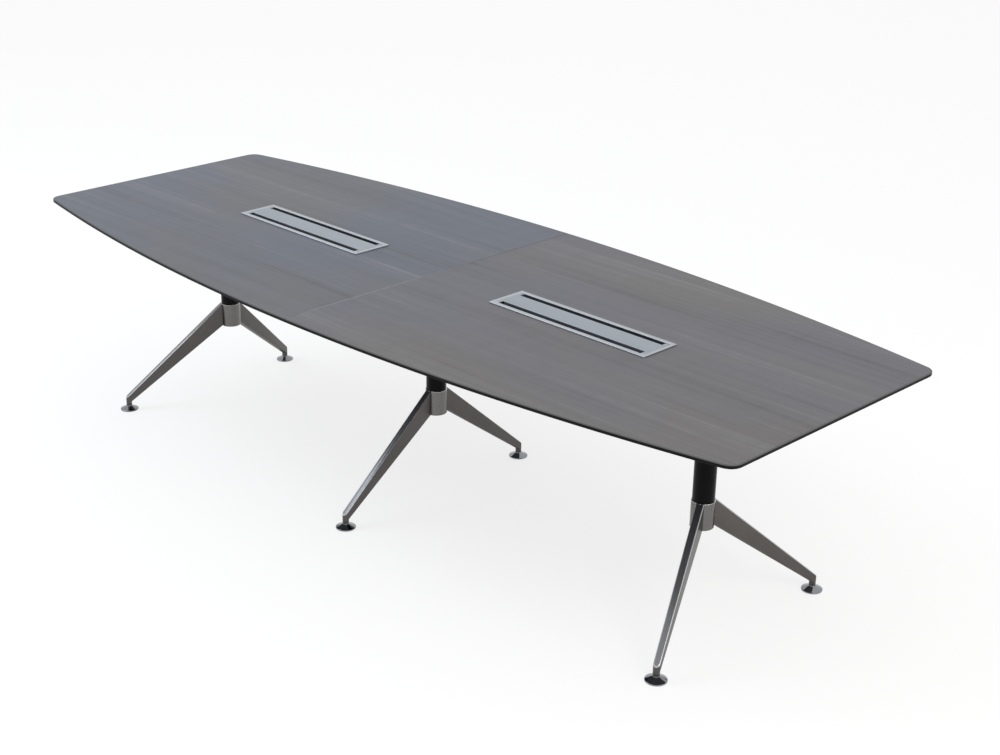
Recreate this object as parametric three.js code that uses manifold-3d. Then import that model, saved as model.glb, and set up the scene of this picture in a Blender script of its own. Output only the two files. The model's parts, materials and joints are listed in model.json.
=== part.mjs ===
// Boat-shaped conference table: a two-piece top with two cable boxes, on three cast pedestals.
// Millimetres, +Z up. The origin is on the floor under the middle of the top,
// +X runs along the table and +Y runs across it, to the side where the lids hinge.
import * as THREE from "three";
import { mergeGeometries, mergeVertices } from "three/addons/utils/BufferGeometryUtils.js";
import Module from "manifold-3d";

const wasm = await Module();
wasm.setup();

// Clearances between neighbouring pieces
const SEAT = 0.3;
const SEAM_GAP = 0.4;
const LID_GAP = 0.5;
const CUTOUT_GAP = 1;
const OVERLAP = 1;

// Top panels
const TOP_LENGTH = 3000;
const TOP_MID_WIDTH = 1200;
const TOP_END_WIDTH = 890;
const TOP_HEIGHT = 750;
const TOP_THICKNESS = 25;
const TOP_CORNER = 36;
const SIDE_STEPS = 10;
const CORNER_STEPS = 4;

// Edge of the top: an upright band, and an undercut that slopes back to the underside
const EDGE_HEIGHT = 11;
const EDGE_UNDERCUT = 35;
const BAND_THICKNESS = 3.5;
const BAND_TOP_ARRIS = 2.5;
const BAND_LOWER_ARRIS = 1;

// Cable boxes
const BOX_OFFSET = 602;
const FRAME_LENGTH = 602;
const FRAME_WIDTH = 142;
const FRAME_SIDE_STRIP = 15;
const FRAME_END_STRIP = 12;
const FLANGE_THICKNESS = 3;
const FLANGE_CORNER = 3;
const FLANGE_ARRIS = 0.6;
const SKIRT_WALL = 2;
const SKIRT_BELOW_TOP = 5;

// Lids
const LID_THICKNESS = 3;
const LID_ARRIS = 0.5;
const LID_EAR = 13;
const SLOT_WIDTH = 20;
const KNUCKLE_RADIUS = 4;
const LID_RIB_THICKNESS = 2;
const LID_RIB_HEIGHT = 8;
const LID_REST_LENGTH = 8;
const LID_REST_WIDTH = 12;
const LID_REST_THICKNESS = 2;

// Lid hinge pins
const PIN_RADIUS = 1.5;
const PIN_REACH = 9;
const PIN_STEPS = 12;

// Brush strips
const BRUSH_BACKING_WIDTH = 5;
const BRUSH_BACKING_HEIGHT = 5;
const BRUSH_LENGTH_MARGIN = 3;
const BRISTLE_LENGTH = 11;
const BRISTLE_RADIUS = 1;
const BRISTLE_TIP_RADIUS = 0.6;
const BRISTLE_SIDES = 3;
const BRISTLES_PER_STRIP = 80;
const BRISTLE_ROW_STEP = 1.1;

// Cable trays
const TRAY_SHEET = 1.5;
const TRAY_DEPTH = 85;
const TRAY_GAP = 3;
const TRAY_FLANGE = 16;
const TRAY_CORNER = 4;
const CABLE_EXIT_WIDTH = 70;
const CABLE_EXIT_HEIGHT = 32;
const CABLE_EXIT_CORNER = 14;
const CABLE_EXIT_DROP = 28;

// Rails under the top
const RAIL_WIDTH = 40;
const RAIL_HEIGHT = 20;
const RAIL_WALL = 2;
const RAIL_TRAY_GAP = 16;
const RAIL_END_GAP = 6;
const RAIL_PAST_COLUMN = 70;

// Joining plates across the seam
const JOINER_LENGTH = 160;
const JOINER_WIDTH = 60;
const JOINER_THICKNESS = 3;
const JOINER_EDGE_DISTANCE = 200;
const JOINER_CORNER = 8;
const JOINER_HOLE_RADIUS = 2.5;
const JOINER_HOLE_MARGIN = 15;

// Columns and their head plates
const PEDESTAL_OFFSET = 1084;
const COLUMN_RADIUS = 32;
const COLUMN_WALL = 2.5;
const HEAD_LENGTH = 160;
const HEAD_RAIL_MARGIN = 10;
const HEAD_THICKNESS = 6;
const HEAD_CORNER = 14;
const HEAD_HOLE_RADIUS = 4.5;
const HEAD_HOLE_MARGIN = 25;
const ROUND_STEPS = 28;

// Collars and bottom caps
const COLLAR_BOTTOM = 280;
const COLLAR_HEIGHT = 82;
const COLLAR_WALL = 2;
const COLLAR_TOP_CHAMFER = 1;
const COLLAR_BOTTOM_ROUND = 1.4;
const CAP_THICKNESS = 3;
const CAP_PLUG_DEPTH = 12;

// Arms
const ARM_REACH = 385;
const ARM_SPLAY = THREE.MathUtils.degToRad(23);
const ARM_ROOT_WIDTH = 23;
const ARM_CHAMFER = 2.2;
const ARM_ROOT_OVERLAP = 12;
const BOSS_RADIUS = 10;
const BOSS_STEPS = 20;
const NOSE_HEIGHT = 30;
const THROAT_HEIGHT = 15;

// Levelling feet
const FOOT_HEIGHT = 17;
const FOOT_RADIUS = 31.5;
const FOOT_RIM_HEIGHT = 3;
const FOOT_RIM_WALL = 3;
const FOOT_ROUND = 1;
const FOOT_NECK_RADIUS = 10;
const FOOT_NECK_HEIGHT = 2;
const FOOT_DISH = 2.5;
const FOOT_CONE_STEPS = 3;
const FOOT_STEPS = 20;
const PAD_THICKNESS = 4;
const PAD_PROUD = 1;
const STEM_RADIUS = 5;
const STEM_REACH = 24;
const STEM_BORE_SPARE = 4;
const STEM_CHAMFER = 1;
const STEM_FLOOR = 2;
const STEM_STEPS = 12;

// Levels and sizes that follow from the driving dimensions
const UNDERSIDE = TOP_HEIGHT - TOP_THICKNESS;
const HALF_LENGTH = (TOP_LENGTH - SEAM_GAP) / 2;
const OPENING_LENGTH = FRAME_LENGTH - 2 * FRAME_END_STRIP;
const OPENING_WIDTH = FRAME_WIDTH - 2 * FRAME_SIDE_STRIP;
const SKIRT_LENGTH = OPENING_LENGTH + 2 * SKIRT_WALL;
const SKIRT_WIDTH = OPENING_WIDTH + 2 * SKIRT_WALL;
const FLANGE_TOP = SEAT + FLANGE_THICKNESS;
const LID_LENGTH = OPENING_LENGTH - 2 * LID_GAP;
const LID_WIDTH = OPENING_WIDTH - 2 * LID_GAP;
const LID_UNDERSIDE = FLANGE_TOP - LID_THICKNESS;
const TONGUE_WIDTH = OPENING_WIDTH - 2 * SLOT_WIDTH;
const NOTCH_LENGTH = LID_LENGTH - 2 * LID_EAR;
const HINGE_Y = LID_WIDTH / 2 - KNUCKLE_RADIUS;
const HINGE_Z = FLANGE_TOP - KNUCKLE_RADIUS;
const TRAY_LENGTH = SKIRT_LENGTH + 2 * TRAY_GAP + 2 * TRAY_SHEET;
const TRAY_WIDTH = SKIRT_WIDTH + 2 * TRAY_GAP + 2 * TRAY_SHEET;
const RAIL_SPREAD = TRAY_WIDTH / 2 + TRAY_FLANGE + RAIL_TRAY_GAP + RAIL_WIDTH / 2;
const JOINER_SPREAD = TOP_MID_WIDTH / 2 - JOINER_EDGE_DISTANCE;
const HEAD_WIDTH = 2 * RAIL_SPREAD + RAIL_WIDTH + 2 * HEAD_RAIL_MARGIN;
const RAIL_UNDERSIDE = UNDERSIDE - SEAT - RAIL_HEIGHT;
const HEAD_UNDERSIDE = RAIL_UNDERSIDE - SEAT - HEAD_THICKNESS;
const COLLAR_RADIUS = COLUMN_RADIUS + SEAT + COLLAR_WALL;
const COLLAR_TOP = COLLAR_BOTTOM + COLLAR_HEIGHT;
const COLUMN_BOTTOM = COLLAR_BOTTOM + CAP_THICKNESS + SEAT;
const BOSS_BOTTOM = FOOT_HEIGHT + SEAT;
const STEM_BOTTOM = PAD_THICKNESS + SEAT + STEM_FLOOR + SEAT;
const STEM_TOP = FOOT_HEIGHT + STEM_REACH;

// Finishes
const FINISH = {
  greyWood: { color: 0x7a7b80, roughness: 0.5, metalness: 0 },
  darkEdge: { color: 0x2c2b2c, roughness: 0.45, metalness: 0 },
  brushedAluminium: { color: 0xb4bcc3, roughness: 0.4, metalness: 0.9 },
  satinAluminium: { color: 0x9a9894, roughness: 0.35, metalness: 1 },
  chrome: { color: 0xd8dadd, roughness: 0.08, metalness: 1 },
  blackSteel: { color: 0x0d0d10, roughness: 0.35, metalness: 0.2 },
  zincSteel: { color: 0xa9adb2, roughness: 0.4, metalness: 1 },
  blackPlastic: { color: 0x17181a, roughness: 0.6, metalness: 0 },
  blackBristle: { color: 0x1b1c20, roughness: 0.8, metalness: 0 },
};

// Solids from geometries, for cutting and joining
function solid(geometry) {
  geometry.deleteAttribute("normal");
  geometry.deleteAttribute("uv");
  const merged = mergeVertices(geometry);
  return new wasm.Manifold(
    new wasm.Mesh({
      numProp: 3,
      vertProperties: Float32Array.from(merged.attributes.position.array),
      triVerts: Uint32Array.from(merged.index.array),
    }),
  );
}

function geometryOf(manifold) {
  const { vertProperties, triVerts } = manifold.getMesh();
  const geometry = new THREE.BufferGeometry();
  geometry.setAttribute("position", new THREE.BufferAttribute(vertProperties, 3));
  geometry.setIndex(new THREE.BufferAttribute(triVerts, 1));
  geometry.computeVertexNormals();
  return geometry;
}

function addMesh(group, name, geometry, finish) {
  const mesh = new THREE.Mesh(geometry, new THREE.MeshStandardMaterial(finish));
  mesh.name = name;
  group.add(mesh);
  return mesh;
}

// Two values of one side, smallest first
function span(side, near, far) {
  return [side * near, side * far].sort((a, b) => a - b);
}

// Block between two corners
function block(low, high) {
  const [length, width, height] = high.map((value, axis) => value - low[axis]);
  const middle = high.map((value, axis) => (value + low[axis]) / 2);
  return new THREE.BoxGeometry(length, width, height).translate(...middle);
}

// Upright round bar from one level to another
function uprightBar(radius, bottom, top, steps) {
  const bar = new THREE.CylinderGeometry(radius, radius, top - bottom, steps);
  return bar.rotateX(Math.PI / 2).translate(0, 0, (top + bottom) / 2);
}

// Round bar along X, from one end to the other
function barAlongX(radius, start, end, steps) {
  const bar = new THREE.CylinderGeometry(radius, radius, end - start, steps);
  return bar.rotateZ(-Math.PI / 2).translate((start + end) / 2, 0, 0);
}

// Turned piece from its half section, given as radius and height
function turned(section, steps) {
  const profile = section.map(([radius, height]) => new THREE.Vector2(radius, height));
  return new THREE.LatheGeometry(profile, steps).rotateX(Math.PI / 2);
}

// Closed solid through rings of equal length, one above the other
function loft(rings) {
  const count = rings[0].length;
  const positions = rings.flat().flatMap((point) => [point.x, point.y, point.z]);
  const index = [];
  for (let level = 0; level + 1 < rings.length; level += 1) {
    for (let i = 0; i < count; i += 1) {
      const a = level * count + i;
      const b = level * count + ((i + 1) % count);
      index.push(a, b, b + count, a, b + count, a + count);
    }
  }
  const last = (rings.length - 1) * count;
  for (const [a, b, c] of THREE.ShapeUtils.triangulateShape(rings[0], [])) {
    index.push(a, c, b);
  }
  for (const [a, b, c] of THREE.ShapeUtils.triangulateShape(rings.at(-1), [])) {
    index.push(last + a, last + b, last + c);
  }
  const geometry = new THREE.BufferGeometry();
  geometry.setAttribute("position", new THREE.Float32BufferAttribute(positions, 3));
  geometry.setIndex(index);
  geometry.computeVertexNormals();
  return geometry;
}

// Rectangle about the origin, with rounded corners
function roundedRectangle(length, width, corner, Kind = THREE.Shape) {
  const x = length / 2 - corner;
  const y = width / 2 - corner;
  const path = new Kind();
  path.absarc(x, y, corner, 0, Math.PI / 2);
  path.absarc(-x, y, corner, Math.PI / 2, Math.PI);
  path.absarc(-x, -y, corner, Math.PI, 1.5 * Math.PI);
  path.absarc(x, -y, corner, 1.5 * Math.PI, 2 * Math.PI);
  path.closePath();
  return path;
}

// Plain rectangle about the origin
function rectangle(length, width, Kind = THREE.Shape) {
  const [x, y] = [length / 2, width / 2];
  const corners = [[-x, -y], [x, -y], [x, y], [-x, y]];
  return new Kind(corners.map(([u, v]) => new THREE.Vector2(u, v)));
}

// Flat plate from a shape, with its underside at the given level
function plate(shape, thickness, underside, arris = 0) {
  const options = {
    depth: thickness - 2 * arris,
    curveSegments: 2,
    bevelEnabled: arris > 0,
    bevelSegments: 1,
    bevelSize: arris,
    bevelThickness: arris,
    bevelOffset: -arris,
  };
  return new THREE.ExtrudeGeometry(shape, options).translate(0, 0, underside + arris);
}

// Outline of one half of the top, from the seam round the end and back to the seam
function halfOutline(cornerSize) {
  const halfMid = TOP_MID_WIDTH / 2;
  const halfEnd = TOP_END_WIDTH / 2;
  const seam = new THREE.Vector2(0, -halfMid);
  const pull = new THREE.Vector2(HALF_LENGTH / 2, -halfMid);
  const sharpCorner = new THREE.Vector2(HALF_LENGTH, -halfEnd);
  const side = new THREE.QuadraticBezierCurve(seam, pull, sharpCorner);
  const sideShare = 1 - cornerSize / side.getLength();
  const points = [];
  for (let i = 0; i <= SIDE_STEPS; i += 1) {
    points.push(side.getPointAt((sideShare * i) / SIDE_STEPS));
  }
  const endStart = new THREE.Vector2(HALF_LENGTH, -halfEnd + cornerSize);
  const corner = new THREE.QuadraticBezierCurve(points.at(-1), sharpCorner, endStart);
  points.push(...corner.getPoints(CORNER_STEPS).slice(1));
  const farSide = points.map((point) => new THREE.Vector2(point.x, -point.y)).reverse();
  return [...points, ...farSide];
}

// The same outline moved inwards; at the seam it moves along the seam only
function insetOutline(points, distance) {
  const mirrored = (point) => new THREE.Vector2(-point.x, point.y);
  return points.map((point, i) => {
    const before = points[i - 1] ?? mirrored(points[1]);
    const after = points[i + 1] ?? mirrored(points.at(-2));
    const along = after.clone().sub(before).normalize();
    return new THREE.Vector2(point.x - along.y * distance, point.y + along.x * distance);
  });
}

function atLevel(points, z) {
  return points.map((point) => new THREE.Vector3(point.x, point.y, z));
}

// One half of the top, without its edge band, with the cut-out for its cable box
function topPanel(outline) {
  const boardEdge = BAND_THICKNESS + SEAT;
  const edge = insetOutline(outline, boardEdge);
  const underInset = boardEdge + EDGE_UNDERCUT;
  const underEdge = insetOutline(halfOutline(TOP_CORNER + underInset), underInset);
  const board = loft([
    atLevel(underEdge, UNDERSIDE),
    atLevel(edge, TOP_HEIGHT - EDGE_HEIGHT),
    atLevel(edge, TOP_HEIGHT),
  ]);
  const cutLength = SKIRT_LENGTH + 2 * CUTOUT_GAP;
  const cutWidth = SKIRT_WIDTH + 2 * CUTOUT_GAP;
  const low = [-cutLength / 2, -cutWidth / 2, UNDERSIDE - OVERLAP];
  const high = [cutLength / 2, cutWidth / 2, TOP_HEIGHT + OVERLAP];
  const cutout = block(low, high).translate(BOX_OFFSET - SEAM_GAP / 2, 0, 0);
  return geometryOf(solid(board).subtract(solid(cutout)));
}

// Edge band of one half, with its outer corners eased
function edgeBand(outline) {
  const inner = insetOutline(outline, BAND_THICKNESS).reverse();
  const ring = (eased, z) => atLevel([...insetOutline(outline, eased), ...inner], z);
  const bottom = TOP_HEIGHT - EDGE_HEIGHT;
  return loft([
    ring(BAND_LOWER_ARRIS, bottom),
    ring(0, bottom + BAND_LOWER_ARRIS),
    ring(0, TOP_HEIGHT - BAND_TOP_ARRIS),
    ring(BAND_TOP_ARRIS, TOP_HEIGHT),
  ]);
}

// Cable box frame: a flange on the top, a skirt through the cut-out, and two rests for the lid
function boxFrame() {
  const flangeShape = roundedRectangle(FRAME_LENGTH, FRAME_WIDTH, FLANGE_CORNER);
  flangeShape.holes.push(rectangle(OPENING_LENGTH, OPENING_WIDTH, THREE.Path));
  const flange = plate(flangeShape, FLANGE_THICKNESS, SEAT, FLANGE_ARRIS);
  const skirtShape = rectangle(SKIRT_LENGTH, SKIRT_WIDTH);
  skirtShape.holes.push(rectangle(OPENING_LENGTH, OPENING_WIDTH, THREE.Path));
  const skirtBottom = -TOP_THICKNESS - SKIRT_BELOW_TOP;
  const skirtTop = SEAT + FLANGE_THICKNESS / 2;
  const skirt = plate(skirtShape, skirtTop - skirtBottom, skirtBottom);
  let frame = solid(flange).add(solid(skirt));
  const restTop = LID_UNDERSIDE - SEAT;
  const wall = OPENING_LENGTH / 2;
  for (const side of [-1, 1]) {
    const ends = span(side, wall + OVERLAP, wall - LID_REST_LENGTH);
    const low = [ends[0], -OPENING_WIDTH / 2 - OVERLAP, restTop - LID_REST_THICKNESS];
    const high = [ends[1], -OPENING_WIDTH / 2 + LID_REST_WIDTH, restTop];
    frame = frame.add(solid(block(low, high)));
    const pinEnds = span(side, wall - OVERLAP, wall + SKIRT_WALL + OVERLAP);
    const pinHole = barAlongX(PIN_RADIUS + SEAT, ...pinEnds, PIN_STEPS).translate(0, HINGE_Y, HINGE_Z);
    frame = frame.subtract(solid(pinHole));
  }
  return geometryOf(frame);
}

// Lid: a plate cut back along both long edges, two ribs that hold the brushes, and two knuckles
function boxLid() {
  const [x, y] = [LID_LENGTH / 2, LID_WIDTH / 2];
  const notchX = NOTCH_LENGTH / 2;
  const tongueY = TONGUE_WIDTH / 2;
  const quarter = [[x, -y], [notchX, -y], [notchX, -tongueY]];
  const front = [...quarter.map(([u, v]) => [-u, v]), ...quarter.toReversed()];
  const back = [[x, HINGE_Y], [notchX, HINGE_Y], [notchX, tongueY]];
  const rear = [...back, ...back.toReversed().map(([u, v]) => [-u, v])];
  const outline = [...front, ...rear].map(([u, v]) => new THREE.Vector2(u, v));
  let lid = solid(plate(new THREE.Shape(outline), LID_THICKNESS, LID_UNDERSIDE, LID_ARRIS));
  const ribX = notchX - BRUSH_LENGTH_MARGIN;
  const ribOuter = tongueY - BRUSH_BACKING_WIDTH - 2 * SEAT;
  for (const side of [-1, 1]) {
    const faces = span(side, ribOuter, ribOuter - LID_RIB_THICKNESS);
    const low = [-ribX, faces[0], LID_UNDERSIDE - LID_RIB_HEIGHT];
    const high = [ribX, faces[1], LID_UNDERSIDE + LID_ARRIS + OVERLAP];
    lid = lid.add(solid(block(low, high)));
    const earEnds = span(side, notchX, x);
    const knuckle = barAlongX(KNUCKLE_RADIUS, ...earEnds, STEM_STEPS).translate(0, HINGE_Y, HINGE_Z);
    lid = lid.add(solid(knuckle));
  }
  for (const side of [-1, 1]) {
    const boreEnds = span(side, x - PIN_REACH - SEAT, x + OVERLAP);
    const bore = barAlongX(PIN_RADIUS + SEAT, ...boreEnds, PIN_STEPS).translate(0, HINGE_Y, HINGE_Z);
    lid = lid.subtract(solid(bore));
  }
  return geometryOf(lid);
}

// Hinge pin, from the outside of the skirt into the knuckle of the lid
function hingePin(side) {
  const outer = OPENING_LENGTH / 2 + SKIRT_WALL;
  const inner = LID_LENGTH / 2 - PIN_REACH;
  const ends = span(side, inner, outer);
  return barAlongX(PIN_RADIUS, ...ends, PIN_STEPS).translate(0, HINGE_Y, HINGE_Z);
}

// Brush strip under the edge of the lid's tongue, with two staggered rows of bristles
function brushStrip(side) {
  const length = NOTCH_LENGTH - 2 * BRUSH_LENGTH_MARGIN;
  const outer = TONGUE_WIDTH / 2 - SEAT;
  const top = LID_UNDERSIDE - SEAT;
  const low = [-length / 2, outer - BRUSH_BACKING_WIDTH, top - BRUSH_BACKING_HEIGHT];
  const high = [length / 2, outer, top];
  const pitch = length / BRISTLES_PER_STRIP;
  const rowMiddle = top - BRUSH_BACKING_HEIGHT / 2;
  const strands = [];
  for (let i = 0; i < BRISTLES_PER_STRIP; i += 1) {
    const reach = BRISTLE_LENGTH + OVERLAP;
    const strand = new THREE.CylinderGeometry(BRISTLE_TIP_RADIUS, BRISTLE_RADIUS, reach, BRISTLE_SIDES);
    const row = i % 2 === 0 ? BRISTLE_ROW_STEP : -BRISTLE_ROW_STEP;
    const x = pitch * (i + 0.5) - length / 2;
    strands.push(strand.translate(x, outer - OVERLAP + reach / 2, rowMiddle + row));
  }
  const strip = solid(block(low, high)).add(solid(mergeGeometries(strands)));
  const geometry = geometryOf(strip);
  return side > 0 ? geometry : geometry.rotateZ(Math.PI);
}

// Cable tray: a folded sheet box under the cut-out, with a fixing flange and a cable exit at each end
function cableTray() {
  const innerLength = TRAY_LENGTH - 2 * TRAY_SHEET;
  const innerWidth = TRAY_WIDTH - 2 * TRAY_SHEET;
  const top = -TOP_THICKNESS - SEAT;
  const floor = top - TRAY_DEPTH;
  const flangeLength = TRAY_LENGTH + 2 * TRAY_FLANGE;
  const flangeWidth = TRAY_WIDTH + 2 * TRAY_FLANGE;
  const flangeShape = roundedRectangle(flangeLength, flangeWidth, TRAY_CORNER);
  const flange = plate(flangeShape, TRAY_SHEET, top - TRAY_SHEET);
  const shell = plate(roundedRectangle(TRAY_LENGTH, TRAY_WIDTH, TRAY_CORNER), TRAY_DEPTH, floor);
  const hollowShape = roundedRectangle(innerLength, innerWidth, TRAY_CORNER - TRAY_SHEET);
  const hollow = plate(hollowShape, TRAY_DEPTH - TRAY_SHEET + OVERLAP, floor + TRAY_SHEET);
  const exitShape = roundedRectangle(CABLE_EXIT_HEIGHT, CABLE_EXIT_WIDTH, CABLE_EXIT_CORNER);
  const exitStart = -TRAY_LENGTH / 2 - OVERLAP;
  const exit = plate(exitShape, TRAY_LENGTH + 2 * OVERLAP, exitStart).rotateY(Math.PI / 2);
  const exitHeight = top - CABLE_EXIT_DROP - CABLE_EXIT_HEIGHT / 2;
  const tray = solid(flange).add(solid(shell)).subtract(solid(hollow));
  return geometryOf(tray.subtract(solid(exit.translate(0, 0, exitHeight))));
}

// Stiffening rail under one half, a rectangular tube open at both ends
function stiffeningRail() {
  const section = rectangle(RAIL_HEIGHT, RAIL_WIDTH);
  section.holes.push(rectangle(RAIL_HEIGHT - 2 * RAIL_WALL, RAIL_WIDTH - 2 * RAIL_WALL, THREE.Path));
  const length = PEDESTAL_OFFSET + RAIL_PAST_COLUMN - RAIL_END_GAP;
  const middle = RAIL_UNDERSIDE + RAIL_HEIGHT / 2;
  return plate(section, length, RAIL_END_GAP).rotateY(Math.PI / 2).translate(0, 0, middle);
}

// Plate with a round hole near each corner
function drilledPlate(shape, holeX, holeY, holeRadius, thickness, underside) {
  for (const [u, v] of [[-1, -1], [1, -1], [1, 1], [-1, 1]]) {
    shape.holes.push(new THREE.Path().absarc(u * holeX, v * holeY, holeRadius, 0, 2 * Math.PI));
  }
  return plate(shape, thickness, underside);
}

function joiningPlate() {
  const shape = roundedRectangle(JOINER_LENGTH, JOINER_WIDTH, JOINER_CORNER);
  const holeX = JOINER_LENGTH / 2 - JOINER_HOLE_MARGIN;
  const holeY = JOINER_WIDTH / 2 - JOINER_HOLE_MARGIN;
  const underside = UNDERSIDE - SEAT - JOINER_THICKNESS;
  return drilledPlate(shape, holeX, holeY, JOINER_HOLE_RADIUS, JOINER_THICKNESS, underside);
}

function headPlate() {
  const shape = roundedRectangle(HEAD_LENGTH, HEAD_WIDTH, HEAD_CORNER);
  const holeX = HEAD_LENGTH / 2 - HEAD_HOLE_MARGIN;
  return drilledPlate(shape, holeX, RAIL_SPREAD, HEAD_HOLE_RADIUS, HEAD_THICKNESS, HEAD_UNDERSIDE);
}

// Column tube, from the cap in the collar up to the head plate
function column() {
  const inner = COLUMN_RADIUS - COLUMN_WALL;
  const top = HEAD_UNDERSIDE - SEAT;
  const section = [
    [inner, COLUMN_BOTTOM],
    [COLUMN_RADIUS, COLUMN_BOTTOM],
    [COLUMN_RADIUS, top],
    [inner, top],
    [inner, COLUMN_BOTTOM],
  ];
  return turned(section, ROUND_STEPS);
}

// Collar round the foot of the column, with a chamfered top rim and a rounded lower edge
function collar() {
  const inner = COLUMN_RADIUS + SEAT;
  const section = [
    [inner, COLLAR_BOTTOM],
    [COLLAR_RADIUS - COLLAR_BOTTOM_ROUND, COLLAR_BOTTOM],
    [COLLAR_RADIUS, COLLAR_BOTTOM + COLLAR_BOTTOM_ROUND],
    [COLLAR_RADIUS, COLLAR_TOP - COLLAR_TOP_CHAMFER],
    [COLLAR_RADIUS - COLLAR_TOP_CHAMFER, COLLAR_TOP],
    [inner, COLLAR_TOP],
    [inner, COLLAR_BOTTOM],
  ];
  return turned(section, ROUND_STEPS);
}

// Cap that closes the collar from below and plugs the column
function columnCap() {
  const plugRadius = COLUMN_RADIUS - COLUMN_WALL - SEAT;
  const plugTop = COLLAR_BOTTOM + CAP_THICKNESS + CAP_PLUG_DEPTH;
  const section = [
    [0, COLLAR_BOTTOM],
    [COLUMN_RADIUS, COLLAR_BOTTOM],
    [COLUMN_RADIUS, COLLAR_BOTTOM + CAP_THICKNESS],
    [plugRadius, COLLAR_BOTTOM + CAP_THICKNESS],
    [plugRadius, plugTop],
    [0, plugTop],
  ];
  return turned(section, ROUND_STEPS);
}

// Plan of an arm along +X: straight tapering sides and a round nose about the foot axis
function armPlan(inset) {
  const rootX = COLLAR_RADIUS - ARM_ROOT_OVERLAP;
  const noseRadius = BOSS_RADIUS - inset;
  const points = [new THREE.Vector2(rootX, -ARM_ROOT_WIDTH / 2 + inset)];
  for (let i = 0; i <= BOSS_STEPS / 2; i += 1) {
    const angle = -Math.PI / 2 + (2 * Math.PI * i) / BOSS_STEPS;
    const [across, along] = [noseRadius * Math.sin(angle), noseRadius * Math.cos(angle)];
    points.push(new THREE.Vector2(ARM_REACH + along, across));
  }
  points.push(new THREE.Vector2(rootX, ARM_ROOT_WIDTH / 2 - inset));
  return points;
}

// Straight line through two points, as a height over the distance from the column
function heightLine([x0, z0], [x1, z1]) {
  return (x) => z0 + ((x - x0) * (z1 - z0)) / (x1 - x0);
}

// Arm: deep at the collar, sloping down to an upright boss that takes the foot's stem
function arm() {
  const nose = [ARM_REACH + BOSS_RADIUS, BOSS_BOTTOM + NOSE_HEIGHT];
  const throat = [ARM_REACH - BOSS_RADIUS, BOSS_BOTTOM + THROAT_HEIGHT];
  const topAt = heightLine([COLLAR_RADIUS, COLLAR_TOP], nose);
  const bottomAt = heightLine([COLLAR_RADIUS, COLLAR_BOTTOM], throat);
  const ring = (inset, heightAt, lift) =>
    armPlan(inset).map((point) => new THREE.Vector3(point.x, point.y, heightAt(point.x) + lift));
  const beam = loft([
    ring(ARM_CHAMFER, bottomAt, 0),
    ring(0, bottomAt, ARM_CHAMFER),
    ring(0, topAt, -ARM_CHAMFER),
    ring(ARM_CHAMFER, topAt, 0),
  ]);
  const boss = uprightBar(BOSS_RADIUS, BOSS_BOTTOM, throat[1], BOSS_STEPS).translate(ARM_REACH, 0, 0);
  const boreTop = STEM_TOP + STEM_BORE_SPARE;
  const bore = uprightBar(STEM_RADIUS + SEAT, BOSS_BOTTOM - OVERLAP, boreTop, STEM_STEPS);
  const saddleRadius = (COLLAR_RADIUS + SEAT) / Math.cos(Math.PI / ROUND_STEPS);
  const saddle = uprightBar(saddleRadius, 0, 2 * COLLAR_TOP, ROUND_STEPS);
  const far = 2 * ARM_REACH;
  const belowBoss = block([0, -far, -far], [far, far, BOSS_BOTTOM]);
  let piece = solid(beam).add(solid(boss));
  for (const cutter of [belowBoss, bore.translate(ARM_REACH, 0, 0), saddle]) {
    piece = piece.subtract(solid(cutter));
  }
  return geometryOf(piece);
}

// Bell of a foot: a dished cone on a plain rim, recessed below for its pad and bored for its stem
function footBell() {
  const rimBottom = PAD_PROUD;
  const rimTop = rimBottom + FOOT_RIM_HEIGHT;
  const recessRadius = FOOT_RADIUS - FOOT_RIM_WALL;
  const recessTop = PAD_THICKNESS + SEAT;
  const neckBottom = FOOT_HEIGHT - FOOT_NECK_HEIGHT;
  const coneStart = new THREE.Vector2(FOOT_RADIUS - FOOT_ROUND, rimTop + FOOT_ROUND);
  const coneEnd = new THREE.Vector2(FOOT_NECK_RADIUS, neckBottom);
  const pull = coneStart.clone().lerp(coneEnd, 0.5).add(new THREE.Vector2(-FOOT_DISH, -FOOT_DISH));
  const cone = new THREE.QuadraticBezierCurve(coneStart, pull, coneEnd).getPoints(FOOT_CONE_STEPS);
  const boreRadius = STEM_RADIUS + SEAT;
  const boreFloor = STEM_BOTTOM - SEAT;
  const section = [
    [0, recessTop],
    [recessRadius, recessTop],
    [recessRadius, rimBottom],
    [FOOT_RADIUS - FOOT_ROUND, rimBottom],
    [FOOT_RADIUS, rimBottom + FOOT_ROUND],
    [FOOT_RADIUS, rimTop],
    ...cone.map((point) => [point.x, point.y]),
    [FOOT_NECK_RADIUS, FOOT_HEIGHT],
    [boreRadius, FOOT_HEIGHT],
    [boreRadius, boreFloor],
    [0, boreFloor],
  ];
  return turned(section, FOOT_STEPS);
}

function footStem() {
  const section = [
    [0, STEM_BOTTOM],
    [STEM_RADIUS, STEM_BOTTOM],
    [STEM_RADIUS, STEM_TOP - STEM_CHAMFER],
    [STEM_RADIUS - STEM_CHAMFER, STEM_TOP],
    [0, STEM_TOP],
  ];
  return turned(section, STEM_STEPS);
}

function footPad() {
  const radius = FOOT_RADIUS - FOOT_RIM_WALL - SEAT;
  return uprightBar(radius, 0, PAD_THICKNESS, FOOT_STEPS);
}

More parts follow.
